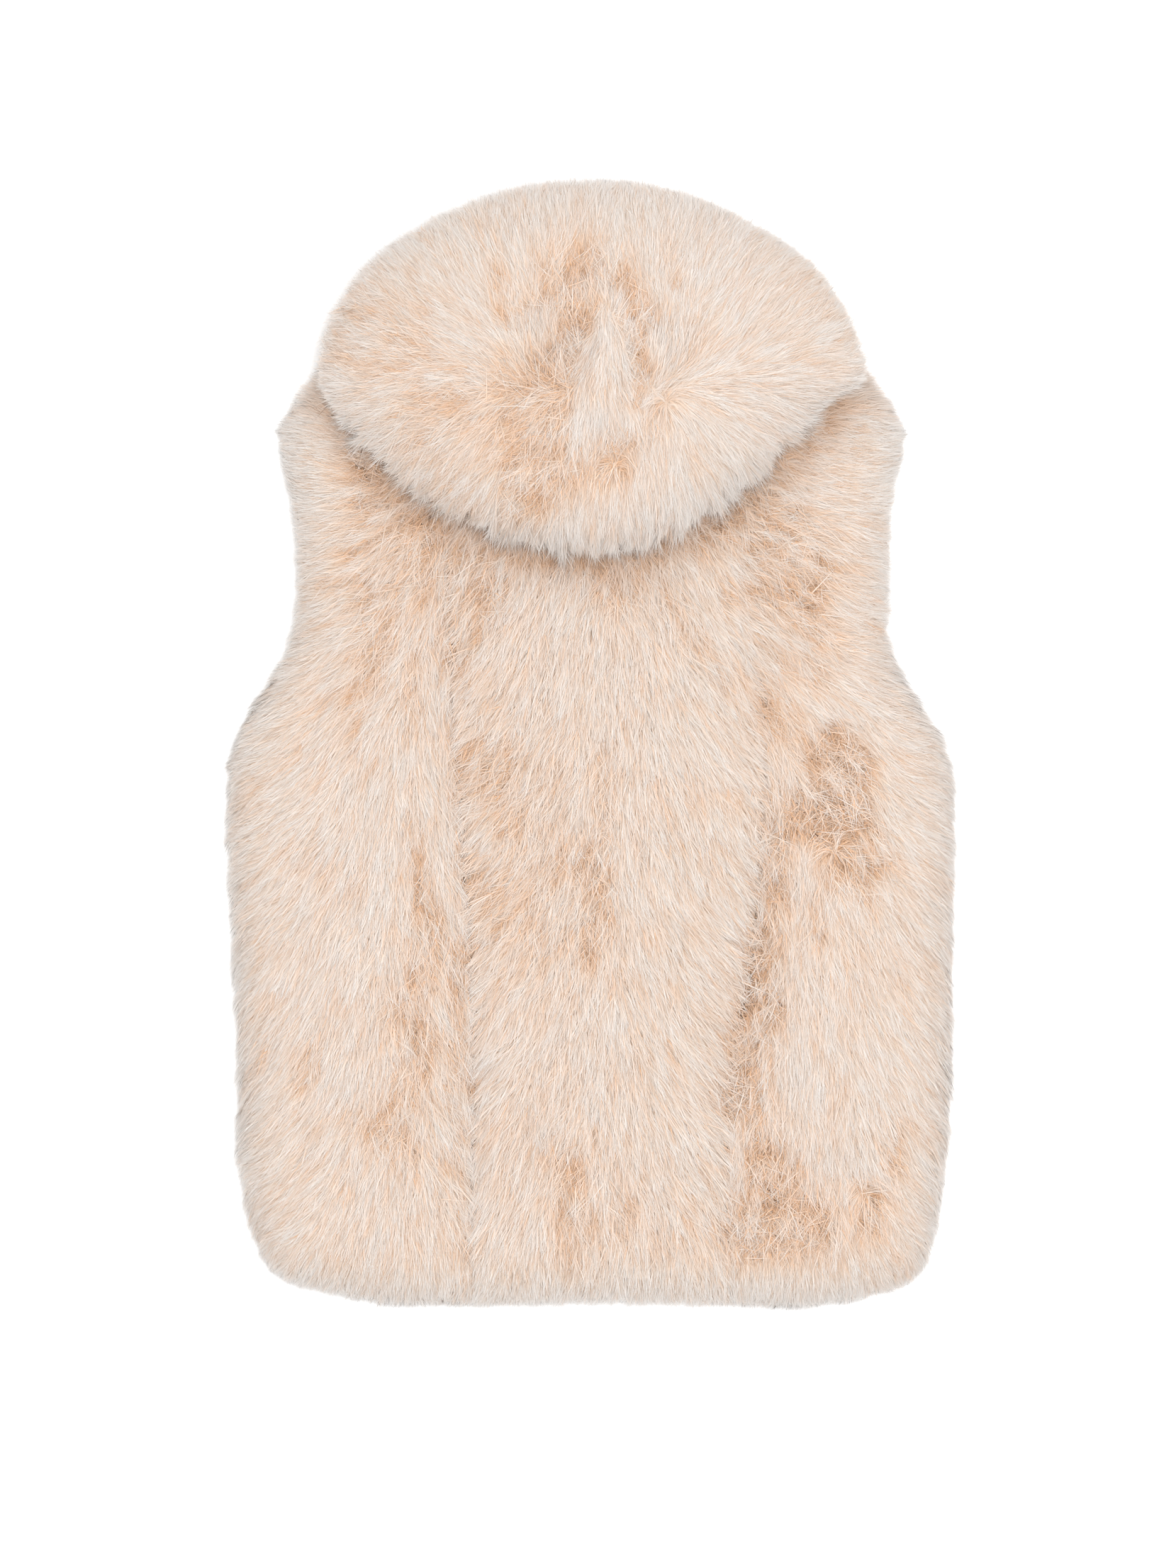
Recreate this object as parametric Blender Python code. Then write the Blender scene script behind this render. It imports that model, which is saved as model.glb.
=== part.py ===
"""A hooded pile-fabric gilet, laid face down on a surface with its hood dropped on its back.

Metres, +Z up, +Y towards the hood. The origin is the middle of the underside of its box.
Each solid is one cut piece with its pile, so its free face is where the pile ends.
The pieces lie on each other in flat layers: fronts, back, the hood's hidden layers, and the hood's outer halves.
"""

from math import atan2, exp, hypot, pi, sqrt

import bmesh
import bpy
import numpy as np

# Layer heights above the surface
FRONT_TOP = 0.018  # the fronts' pile is pressed by the weight on it
BACK_CROWN = 0.046  # free pile on the back
HOOD_BED = 0.040  # the back's pile is pressed to here under the hood
HOOD_PARTING = 0.062  # between the hood's hidden layers and its outer halves
HOOD_CROWN = 0.116
GAP = 0.0003  # between pieces that meet
LIP = 0.003  # upright band at a panel's edge, where its rounding starts

# How far in from the edge each layer rounds over
BACK_ROUND = 0.034
FRONT_ROUND = 0.022
HOOD_ROUND = 0.70  # as a share of the way to the middle of the hood
PRESS_RISE = 0.35  # slope of the back's pile as it comes out from under the hood
PRESS_PLAY = 0.0010  # the pressed pile stays this far under the hood
PRESS_MARGIN = 0.006  # and is still pressed this far out from it

# The body's outline, counter-clockwise from the hem's left corner
BODY_COLUMNS = ("point", "x", "y")
BODY = (
    ("hem corner left", -0.2260, -0.3710),
    ("hem left", -0.1700, -0.3910),
    ("hem mid left", -0.0900, -0.3970),
    ("hem centre", 0.0100, -0.3955),
    ("hem mid right", 0.1000, -0.3970),
    ("hem right", 0.1750, -0.3945),
    ("hem corner right", 0.2320, -0.3745),
    ("hip right", 0.2475, -0.3200),
    ("side low right", 0.2543, -0.2400),
    ("side right", 0.2556, -0.1400),
    ("side high right", 0.2564, -0.0420),
    ("underarm right", 0.2520, -0.0020),
    ("armhole low right", 0.2330, 0.0270),
    ("armhole bend right", 0.2150, 0.0580),
    ("armhole right", 0.2113, 0.1300),
    ("armhole high right", 0.2155, 0.1860),
    ("shoulder tip right", 0.2208, 0.2180),
    ("shoulder round right", 0.2150, 0.2370),
    ("shoulder right", 0.1960, 0.2560),
    ("shoulder mid right", 0.1400, 0.2790),
    ("neck right", 0.0900, 0.2900),
    ("neck centre", 0.0000, 0.2700),
    ("neck left", -0.0900, 0.2900),
    ("shoulder mid left", -0.1400, 0.2780),
    ("shoulder left", -0.1950, 0.2530),
    ("shoulder round left", -0.2125, 0.2370),
    ("shoulder tip left", -0.2193, 0.2180),
    ("armhole high left", -0.2123, 0.1780),
    ("armhole left", -0.2080, 0.1300),
    ("armhole bend left", -0.2140, 0.0680),
    ("armhole low left", -0.2350, 0.0310),
    ("underarm left", -0.2530, -0.0020),
    ("side high left", -0.2566, -0.0420),
    ("side left", -0.2530, -0.1400),
    ("side low left", -0.2490, -0.2400),
    ("hip left", -0.2446, -0.3220),
)
# The two long seams of the back, from the hem up to the neck
SEAM_COLUMNS = ("y", "left", "right")
SEAMS = (
    (-0.240, -0.084, 0.100),
    (-0.140, -0.086, 0.116),
    (-0.030, -0.095, 0.124),
    (0.090, -0.102, 0.122),
    (0.200, -0.105, 0.112),
)
# The fronts' armholes are cut deeper than the back's, and their neck lower
FRONT_SCOOP = 0.009
FRONT_NECK_DROP = 0.085
FRONT_HEM_RISE = 0.003

# The hood's outline as it lies, counter-clockwise from the middle of its face edge
HOOD_COLUMNS = ("point", "x", "y")
HOOD = (
    ("face edge", 0.0060, 0.3980),
    ("face edge left", -0.0560, 0.3925),
    ("brow left", -0.1140, 0.3700),
    ("cheek high left", -0.1640, 0.3330),
    ("cheek left", -0.1910, 0.2830),
    ("corner left", -0.1940, 0.2560),
    ("fold high left", -0.1680, 0.2190),
    ("fold left", -0.1120, 0.1690),
    ("fold low left", -0.0560, 0.1450),
    ("tip", 0.0060, 0.1345),
    ("fold low right", 0.0520, 0.1440),
    ("fold right", 0.1080, 0.1830),
    ("fold high right", 0.1680, 0.2370),
    ("corner right", 0.1965, 0.2600),
    ("cheek right", 0.1890, 0.2890),
    ("cheek high right", 0.1600, 0.3370),
    ("brow right", 0.1130, 0.3690),
    ("face edge right", 0.0620, 0.3915),
)
HOOD_CENTRE = (0.006, 0.268)

# Soft ridges (+) and hollows (-) of the pile along a line, as deep as they stand
FOLD_COLUMNS = ("fold", "x0", "y0", "x1", "y1", "half_width", "height")
BACK_FOLDS = (
    ("centre ridge", 0.008, 0.080, 0.004, -0.300, 0.055, 0.003),
    ("left ridge", -0.170, 0.000, -0.160, -0.300, 0.040, 0.003),
    ("right ridge", 0.182, -0.080, 0.176, -0.280, 0.034, 0.003),
    ("left valley", -0.120, -0.150, -0.108, -0.270, 0.024, -0.004),
    ("right valley", 0.112, -0.110, 0.104, -0.210, 0.022, -0.005),
    ("right valley foot", 0.104, -0.210, 0.128, -0.300, 0.022, -0.004),
    ("shoulder hollow left", -0.150, 0.190, -0.165, 0.100, 0.030, -0.004),
    ("shoulder hollow right", 0.150, 0.150, 0.165, 0.050, 0.034, -0.004),
    ("parting high right", 0.176, -0.010, 0.172, -0.055, 0.022, -0.008),
    ("parting low right", 0.150, -0.325, 0.190, -0.318, 0.017, -0.007),
    ("parting left", -0.186, 0.040, -0.182, -0.010, 0.018, -0.004),
)
HOOD_FOLDS = (
    ("centre hollow", 0.006, 0.305, 0.000, 0.225, 0.055, -0.008),
    ("groove high left", -0.002, 0.334, -0.028, 0.275, 0.019, -0.008),
    ("groove low left", -0.028, 0.275, -0.062, 0.196, 0.021, -0.009),
    ("groove high right", 0.018, 0.330, 0.046, 0.284, 0.019, -0.007),
    ("groove low right", 0.046, 0.284, 0.044, 0.236, 0.019, -0.006),
    ("crest", 0.008, 0.296, 0.006, 0.236, 0.019, 0.007),
    ("whorl", 0.014, 0.206, 0.016, 0.198, 0.018, -0.005),
)
SEAM_DIP = 0.005
SEAM_HALF_WIDTH = 0.011

# The hood's hidden wall: how far its face lies in from the outline, up its height
INNER_COLUMNS = ("inset", "z")
INNER_PROFILE = (
    (0.0160, 0.0403),
    (0.0080, 0.0435),
    (0.0025, 0.0500),
    (0.0000, 0.0580),
    (0.0000, 0.0620),
)
# The hood's face edge, which lies on the surface past the shoulders: its outer side up its height
MOUTH_COLUMNS = ("inset", "z")
MOUTH_PROFILE = (
    (0.0200, 0.0000),
    (0.0095, 0.0045),
    (0.0040, 0.0130),
    (0.0030, 0.0220),
    (0.0065, 0.0320),
    (0.0150, 0.0400),
)
MOUTH_PLAY = 0.003  # between it and the pile of the neck
MOUTH_END = 0.07  # it ends this share of the outline short of the hood's corners
MOUTH_TAPER = 0.15  # share of it over which each end gets lower and narrower towards the shoulder
MOUTH_TIP = 0.0015  # share of it that the rounding starts from, so that each end keeps some body
MOUTH_NARROWEST = 0.6  # most of its width that the rounding takes

# Shares of a panel's width or length at which it has points, closest where it rounds over
PANEL_ACROSS = (0, 0.012, 0.045, 0.10, 0.18, 0.29, 0.42, 0.56, 0.70, 0.83, 0.93, 1)
CENTRE_ACROSS = (0, 0.06, 0.16, 0.29, 0.43, 0.57, 0.71, 0.84, 0.94, 1)
PANEL_ALONG = (0, 0.005, 0.016, 0.032, 0.055, *np.linspace(0.09, 0.91, 24), 0.955, 0.985, 1)
FRONT_ACROSS = (0, 0.014, 0.04, 0.09, 0.25, 0.45, 0.6, 0.7, 0.8, 0.9, 1)
FRONT_ALONG = (0, 0.006, 0.017, 0.036, *np.linspace(0.08, 0.94, 18), 0.98, 1)
HOOD_RINGS = (1, 0.992, 0.975, 0.95, 0.91, 0.86, 0.8, 0.73, 0.65, 0.56, 0.47, 0.38, 0.29, 0.2, 0.11, 0)
HOOD_STEPS = 30  # points of each half's outline
INNER_STEPS = 54
MOUTH_STEPS = 28
CURVE_STEPS = 16  # points on each span of a smooth curve

# Colour, roughness and metallic value of the pile on each layer
MATERIALS = {
    "pile_back": ((0.80, 0.66, 0.56, 1), 0.85, 0.0),
    "pile_front": ((0.78, 0.64, 0.54, 1), 0.85, 0.0),
    "pile_hood": ((0.84, 0.70, 0.60, 1), 0.85, 0.0),
}


def rows(table, columns, wanted):
    """The wanted columns of a table, as an array."""
    picks = [columns.index(name) for name in wanted]
    return np.array([[row[i] for i in picks] for row in table], float)


def smooth(knots, closed):
    """A smooth curve through the knots, with CURVE_STEPS points on each span."""
    before, after = np.roll(knots, 1, 0), np.roll(knots, -1, 0)
    if not closed:
        before[0] = 2 * knots[0] - knots[1]
        after[-1] = 2 * knots[-1] - knots[-2]
    back = np.linalg.norm(knots - before, axis=1)[:, None]
    ahead = np.linalg.norm(after - knots, axis=1)[:, None]
    slope = ((knots - before) / back * ahead + (after - knots) / ahead * back) / (back + ahead)
    spans = len(knots) if closed else len(knots) - 1
    curve = []
    for i in range(spans):
        j = (i + 1) % len(knots)
        for t in np.linspace(0, 1, CURVE_STEPS, endpoint=False):
            bend = t * t * (3 - 2 * t)
            leave = t * (1 - t) ** 2 * ahead[i] * slope[i]
            arrive = t * t * (t - 1) * ahead[i] * slope[j]
            curve.append((1 - bend) * knots[i] + bend * knots[j] + leave + arrive)
    if not closed:
        curve.append(knots[-1])
    return np.array(curve)


def spread(line, shares):
    """The points at these shares of an open line's length."""
    steps = np.linalg.norm(np.diff(line, axis=0), axis=1)
    along = np.concatenate([[0], np.cumsum(steps)])
    at = np.array(shares) * along[-1]
    return np.stack([np.interp(at, along, line[:, k]) for k in range(line.shape[1])], axis=1)


def away(point, line):
    """How far a point is from a line of points."""
    start, step = line[:-1], np.diff(line, axis=0)
    share = ((point - start) * step).sum(1) / np.maximum((step * step).sum(1), 1e-15)
    near = start + np.clip(share, 0, 1)[:, None] * step
    return float(np.linalg.norm(point - near, axis=1).min())


def within(point, loop):
    """Whether a point lies inside a closed loop."""
    a, b = loop, np.roll(loop, -1, 0)
    crosses = (a[:, 1] > point[1]) != (b[:, 1] > point[1])
    drop = np.where(crosses, b[:, 1] - a[:, 1], 1.0)
    reach = a[:, 0] + (point[1] - a[:, 1]) / drop * (b[:, 0] - a[:, 0])
    return bool((crosses & (point[0] < reach)).sum() % 2)


def shut(loop):
    return np.concatenate([loop, loop[:1]])


body_loop = smooth(rows(BODY, BODY_COLUMNS, ("x", "y")), closed=True)
hood_loop = smooth(rows(HOOD, HOOD_COLUMNS, ("x", "y")), closed=True)
body_edge, hood_edge = shut(body_loop), shut(hood_loop)
hood_spokes = hood_loop - HOOD_CENTRE
hood_reach = np.arctan2(hood_spokes[:, 1], hood_spokes[:, 0]), np.linalg.norm(hood_spokes, axis=1)


def place_of(table, name):
    """Where a named point of an outline is among its smooth curve's points."""
    return [row[0] for row in table].index(name) * CURVE_STEPS


def knot(name):
    """A named point of the body's outline."""
    return body_loop[place_of(BODY, name)]


def chain(start, end):
    """The body's outline from one named point to another, counter-clockwise."""
    first, last = place_of(BODY, start), place_of(BODY, end)
    if last <= first:
        last += len(body_loop)
    return body_loop[np.arange(first, last + 1) % len(body_loop)]


def height_on(line, x):
    """The height y at which a line that runs across reaches x."""
    order = np.argsort(line[:, 0])
    return float(np.interp(x, line[order, 0], line[order, 1]))


def seam(side):
    """A long seam of the back, from the hem to the neck."""
    middle = rows(SEAMS, SEAM_COLUMNS, (side, "y"))
    hem = chain("hem corner left", "hem corner right")
    neck = chain("shoulder tip right", "shoulder tip left")
    foot = [middle[0, 0], height_on(hem, middle[0, 0])]
    head = [middle[-1, 0], height_on(neck, middle[-1, 0])]
    return smooth(np.array([foot, *middle, head]), closed=False)


seams = {side: seam(side) for side in ("left", "right")}


def rounded(depth, reach):
    """From 0 at an edge to 1 at this reach in from it, as a quarter of an ellipse."""
    return sqrt(1 - (1 - min(depth / reach, 1)) ** 2)


def folds(point, table):
    """The ridges and hollows of a table at a point."""
    total = 0.0
    for x0, y0, x1, y1, half_width, height in rows(table, FOLD_COLUMNS, FOLD_COLUMNS[1:]):
        far = away(point, np.array([[x0, y0], [x1, y1]]))
        total += height * exp(-((far / half_width) ** 2))
    return total


def back_face(x, y):
    """Where the back's pile ends: it rounds over at the edge, dips at the seams and is pressed by the hood."""
    point = np.array([x, y])
    edge = rounded(away(point, body_edge), BACK_ROUND)
    dip = sum(SEAM_DIP * exp(-((away(point, line) / SEAM_HALF_WIDTH) ** 2)) for line in seams.values())
    rise = BACK_CROWN - FRONT_TOP - LIP + folds(point, BACK_FOLDS) - dip
    outside = 0 if within(point, hood_loop) else away(point, hood_edge)
    pressed = HOOD_BED - PRESS_PLAY + PRESS_RISE * max(outside - PRESS_MARGIN, 0)
    return min(FRONT_TOP + LIP + rise * edge, pressed)


def front_face(x, y):
    """The fronts' underside: flat on the surface, rounding up to the edge."""
    depth = away(np.array([x, y]), body_edge)
    return (FRONT_TOP - LIP) * (1 - rounded(depth, FRONT_ROUND))


def hood_face(x, y):
    """Where the hood's pile ends: a low dome with the hollows where the empty hood sinks in."""
    point = np.array([x, y])
    x, y = point - HOOD_CENTRE
    reach = np.interp(atan2(y, x), *hood_reach, period=2 * pi)
    dome = rounded(max(1 - hypot(x, y) / reach, 0), HOOD_ROUND)
    return HOOD_PARTING + LIP + (HOOD_CROWN - HOOD_PARTING - LIP) * dome + folds(point, HOOD_FOLDS) * dome


def coons(bottom, top, left, right, across, along):
    """The points of a four-sided patch, as rows from the bottom line up to the top one."""
    low, high = spread(bottom, across), spread(top, across)
    start, end = spread(left, along), spread(right, along)
    u, v = np.array(across)[None, :, None], np.array(along)[:, None, None]
    ruled = (1 - v) * low[None] + v * high[None] + (1 - u) * start[:, None] + u * end[:, None]
    corners = (1 - v) * ((1 - u) * low[0] + u * low[-1]) + v * ((1 - u) * high[0] + u * high[-1])
    return ruled - corners


def grid_mesh(points):
    """A grid of faces whose points are moved to an array of rows of points."""
    mesh = bmesh.new()
    last_row, last_column = points.shape[0] - 1, points.shape[1] - 1
    bmesh.ops.create_grid(mesh, x_segments=last_column, y_segments=last_row, size=0.5)
    for vertex in mesh.verts:
        column = round((vertex.co.x + 0.5) * last_column)
        row = round((vertex.co.y + 0.5) * last_row)
        vertex.co = points[row, column]
    return mesh


def border(mesh):
    return [edge for edge in mesh.edges if edge.is_boundary]


def make_object(name, mesh, material):
    """The finished piece, facing out and shaded smooth, in the gilet's collection."""
    bmesh.ops.recalc_face_normals(mesh, faces=mesh.faces[:])
    data = bpy.data.meshes.new(name)
    mesh.to_mesh(data)
    mesh.free()
    data.shade_smooth()
    data.set_sharp_from_angle(angle=0.9)
    data.materials.append(material)
    piece = bpy.data.objects.new(name, data)
    collection.objects.link(piece)
    return piece


def slab(name, plan, face, flat, material):
    """A piece between its free face over a plan of points and a flat face at one height."""
    points = np.array([[[x, y, face(x, y)] for x, y in line] for line in plan])
    mesh = grid_mesh(points)
    bmesh.ops.remove_doubles(mesh, verts=mesh.verts[:], dist=1e-6)
    walls = bmesh.ops.extrude_edge_only(mesh, edges=border(mesh))["geom"]
    for item in walls:
        if isinstance(item, bmesh.types.BMVert):
            item.co.z = flat
    bmesh.ops.contextual_create(mesh, geom=border(mesh))
    return make_object(name, mesh, material)


def tube(name, sections, material):
    """A piece lofted through closed sections, with its two ends filled."""
    mesh = grid_mesh(np.concatenate([sections, sections[:, :1]], axis=1))
    bmesh.ops.remove_doubles(mesh, verts=mesh.verts[:], dist=1e-6)
    loops = bmesh.ops.edgeloop_fill(mesh, edges=border(mesh))["faces"]
    assert len(loops) == 2
    return make_object(name, mesh, material)


def aside(points, side):
    """Points moved half a gap away from a seam, to one side of it."""
    return points + np.array([side * GAP / 2, 0.0])


def stretch(line, start, end):
    """The part of a line that runs across between two points near it."""
    inside = line[(line[:, 0] > start[0] + 1e-6) & (line[:, 0] < end[0] - 1e-6)]
    return np.array([start, *inside, end])


def add_back(material):
    """The back: a centre panel between two side panels."""
    hem = chain("hem corner left", "hem corner right")
    neck = chain("shoulder tip right", "shoulder tip left")[::-1]
    flat = FRONT_TOP + GAP / 2
    left, right = aside(seams["left"], 1), aside(seams["right"], -1)
    low, high = stretch(hem, left[0], right[0]), stretch(neck, left[-1], right[-1])
    slab("back_centre", coons(low, high, left, right, CENTRE_ACROSS, PANEL_ALONG), back_face, flat, material)
    inner = aside(seams["left"], -1)
    low, high = stretch(hem, hem[0], inner[0]), stretch(neck, neck[0], inner[-1])
    outer = chain("shoulder tip left", "hem corner left")[::-1]
    slab("back_side_left", coons(low, high, outer, inner, PANEL_ACROSS, PANEL_ALONG), back_face, flat, material)
    inner = aside(seams["right"], 1)
    low, high = stretch(hem, inner[0], hem[-1])[::-1], stretch(neck, inner[-1], neck[-1])[::-1]
    outer = chain("hem corner right", "shoulder tip right")
    slab("back_side_right", coons(low, high, outer, inner, PANEL_ACROSS, PANEL_ALONG), back_face, flat, material)


def scooped(line):
    """A side line with its armhole cut deeper, as a front's is."""
    y = line[:, 1]
    foot, head = knot("underarm right")[1], knot("shoulder tip right")[1]
    share = np.clip((y - foot) / (head - foot), 0, 1)
    bite = FRONT_SCOOP * np.sin(np.pi * share) ** 0.5
    return line - np.sign(line[:, :1]) * np.stack([bite, 0 * bite], axis=1)


def add_front(name, hand, side, material):
    """One front, from its side and armhole to the middle of the garment."""
    hem = chain("hem corner left", "hem corner right")
    neck = chain("shoulder tip right", "shoulder tip left")
    outer = chain("hem corner right", "shoulder tip right")
    if side < 0:
        hem, neck = hem[::-1], neck[::-1]
        outer = chain("shoulder tip left", "hem corner left")[::-1]
    middle = [0.0, height_on(hem, 0.0)]
    low = np.array([*hem[side * hem[:, 0] > 1e-6][::-1], middle]) + [0, FRONT_HEM_RISE]
    point = knot("neck " + hand)
    shoulder = neck[side * neck[:, 0] > side * point[0] + 1e-6]
    turn = np.linspace(0, pi / 2, CURVE_STEPS)[:, None]
    throat = np.concatenate([point[0] * np.cos(turn), point[1] - FRONT_NECK_DROP * np.sin(turn)], axis=1)
    high = np.concatenate([shoulder, throat]) - [0, LIP]
    inner = np.array([low[-1], high[-1]])
    plan = coons(low, high, scooped(outer), inner, FRONT_ACROSS, FRONT_ALONG)
    slab(name, aside(plan, side), front_face, FRONT_TOP - GAP / 2, material)


def add_hood_half(name, start, end, side, material):
    """One outer half of the hood, as rings from its outline to the middle of its seam."""
    first, last = place_of(HOOD, start), place_of(HOOD, end)
    if last <= first:
        last += len(hood_loop)
    outline = spread(hood_loop[np.arange(first, last + 1) % len(hood_loop)], np.linspace(0, 1, HOOD_STEPS + 1))
    centre = np.array(HOOD_CENTRE)
    plan = np.array([centre + ring * (outline - centre) for ring in HOOD_RINGS])
    slab(name, aside(plan, side), hood_face, HOOD_PARTING + GAP / 2, material)


def add_hood_inner(material):
    """The hood's hidden wall, which lies on the back: the outline at each height of its profile."""
    outline = spread(hood_edge, np.linspace(0, 1, INNER_STEPS, endpoint=False))
    out = outline - np.array(HOOD_CENTRE)
    reach = np.linalg.norm(out, axis=1)[:, None]
    sections = []
    for inset, z in rows(INNER_PROFILE, INNER_COLUMNS, INNER_COLUMNS):
        ring = np.array(HOOD_CENTRE) + out * (1 - inset / reach)
        height = np.full((INNER_STEPS, 1), min(z, HOOD_PARTING - GAP / 2))
        sections.append(np.concatenate([ring, height], axis=1))
    tube("hood_inner", np.array(sections), material)


def add_hood_mouth(material):
    """The hood's face edge on the surface past the shoulders, in sections that fan from the neck to its outline."""
    turn = np.linspace(0, np.pi, MOUTH_STEPS)
    shares = 0.5 - (0.5 - MOUTH_END) * np.cos(turn)  # closest where the ends round over
    neck = spread(chain("shoulder right", "shoulder left"), shares)
    first = place_of(HOOD, "corner right")
    last = place_of(HOOD, "corner left") + len(hood_loop)
    brow = spread(hood_loop[np.arange(first, last + 1) % len(hood_loop)], shares)
    sections = []
    for share, near, far in zip(shares, neck, brow):
        span = np.linalg.norm(far - near)
        out = (far - near) / span
        start = near + MOUTH_PLAY * out
        taper = rounded(min(share, 1 - share) - MOUTH_END + MOUTH_TIP, MOUTH_TAPER)
        width = (span - MOUTH_PLAY) * taper
        section = [(*start, 0.0)]
        for inset, z in rows(MOUTH_PROFILE, MOUTH_COLUMNS, MOUTH_COLUMNS):
            reach = max(width - inset, (1 - MOUTH_NARROWEST) * width)
            section.append((*(start + reach * out), z * taper))
        section.append((*start, HOOD_BED * taper))
        sections.append(section)
    tube("hood_mouth", np.array(sections), material)


def make_material(name, colour, roughness, metallic):
    material = bpy.data.materials.new(name)
    material.use_nodes = True
    shader = material.node_tree.nodes["Principled BSDF"]
    shader.inputs["Base Color"].default_value = colour
    shader.inputs["Roughness"].default_value = roughness
    shader.inputs["Metallic"].default_value = metallic
    return material


for old in list(bpy.data.objects):
    bpy.data.objects.remove(old)
collection = bpy.data.collections.new("hooded_gilet")
bpy.context.scene.collection.children.link(collection)
pile = {name: make_material(name, *look) for name, look in MATERIALS.items()}

add_front("front_left", "left", -1, pile["pile_front"])
add_front("front_right", "right", 1, pile["pile_front"])
add_back(pile["pile_back"])
add_hood_mouth(pile["pile_hood"])
add_hood_inner(pile["pile_hood"])
add_hood_half("hood_left", "face edge", "tip", -1, pile["pile_hood"])
add_hood_half("hood_right", "tip", "face edge", 1, pile["pile_hood"])
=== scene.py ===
"""Looks of the hooded gilet: thin cloth under each free face of the solids, and long pile on it as strands.

Metres, +Z up, +Y towards the hood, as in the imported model. Headings are degrees in plan, from +X towards +Y.
"""

from collections import namedtuple

import bpy
import numpy as np
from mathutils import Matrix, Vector
from mathutils.bvhtree import BVHTree
from mathutils.kdtree import KDTree


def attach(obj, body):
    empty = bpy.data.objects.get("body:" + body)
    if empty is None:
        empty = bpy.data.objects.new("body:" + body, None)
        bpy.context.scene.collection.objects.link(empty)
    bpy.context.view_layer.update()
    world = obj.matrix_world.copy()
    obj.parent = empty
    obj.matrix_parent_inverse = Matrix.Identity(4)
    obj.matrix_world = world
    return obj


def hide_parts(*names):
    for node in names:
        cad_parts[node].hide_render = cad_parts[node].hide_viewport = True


SEED = 11

# The panels, each with its number of long strands and its cloth's flat cut: width, length and area
LAYERS = ("body", "hood")
Panel = namedtuple("Panel", "node layer slot strands cut")
PANELS = (
    Panel("back_centre", "body", "pile_back", 52000, (0.225, 0.690, 0.143)),
    Panel("back_side_left", "body", "pile_back", 52000, (0.180, 0.690, 0.100)),
    Panel("back_side_right", "body", "pile_back", 52000, (0.170, 0.690, 0.092)),
    Panel("front_left", "body", "pile_front", 10000, (0.260, 0.680, 0.150)),
    Panel("front_right", "body", "pile_front", 10000, (0.260, 0.680, 0.150)),
    Panel("hood_left", "hood", "pile_hood", 36000, (0.230, 0.300, 0.053)),
    Panel("hood_right", "hood", "pile_hood", 36000, (0.230, 0.300, 0.050)),
    Panel("hood_inner", "hood", "pile_hood", 9000, (0.420, 0.300, 0.110)),
    Panel("hood_mouth", "hood", "pile_hood", 16000, (0.400, 0.150, 0.040)),
)

# Which way the pile lies at three places across a panel, from the hem (first) to the shoulder
COMB_COLUMNS = ("y", "at_left", "at_middle", "at_right")
COMB_LEFT = (
    (-0.386, 240, 264, 272),
    (-0.351, 225, 258, 290),
    (-0.301, 218, 252, 302),
    (-0.251, 224, 252, 297),
    (-0.176, 226, 252, 292),
    (-0.101, 216, 250, 288),
    (-0.026, 196, 242, 282),
    (0.050, 190, 238, 270),
    (0.100, 186, 222, 262),
    (0.175, 180, 195, 240),
    (0.225, 166, 172, 200),
)
COMB_CENTRE = (
    (-0.386, 264, 270, 274),
    (-0.336, 248, 272, 296),
    (-0.276, 238, 272, 312),
    (-0.201, 230, 271, 318),
    (-0.126, 224, 270, 315),
    (-0.051, 226, 270, 308),
    (0.025, 234, 270, 314),
    (0.100, 238, 270, 320),
    (0.135, 238, 268, 318),
)
COMB_RIGHT = (
    (-0.391, 270, 272, 290),
    (-0.366, 266, 275, 302),
    (-0.326, 262, 278, 312),
    (-0.276, 266, 278, 312),
    (-0.201, 266, 281, 315),
    (-0.126, 270, 286, 322),
    (-0.051, 275, 305, 336),
    (0.000, 290, 316, 342),
    (0.050, 308, 322, 345),
    (0.100, 318, 332, 352),
    (0.165, 328, 342, 360),
    (0.225, 330, 350, 370),
)
# The left and right limits of those places, up the body
LIMIT_COLUMNS = ("y", "left", "left_seam", "right_seam", "right")
LIMITS = (
    (-0.390, -0.215, -0.084, 0.100, 0.220),
    (-0.240, -0.249, -0.084, 0.100, 0.254),
    (-0.040, -0.256, -0.094, 0.124, 0.256),
    (0.030, -0.235, -0.098, 0.123, 0.232),
    (0.080, -0.212, -0.101, 0.122, 0.213),
    (0.230, -0.215, -0.105, 0.112, 0.215),
)
# The hood's pile lies out from a short level hub, which is lower for the upper half,
# and down along a crest that crosses it
HUB_LEFT = -0.014
HUB_RIGHT = 0.041
HUB_Y = 0.2495
HUB_SHIFT = 0.025
HUB_BLEND = 0.030
CREST_COLUMNS = ("y", "middle", "half_width")
CREST = (
    (0.1945, -0.006, 0.002),
    (0.2045, -0.005, 0.009),
    (0.2245, 0.002, 0.021),
    (0.2445, 0.008, 0.028),
    (0.2685, 0.008, 0.025),
    (0.2925, 0.008, 0.017),
    (0.3130, 0.006, 0.002),
)
CREST_FAN = 0.20  # how far its strands spread at its sides

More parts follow.
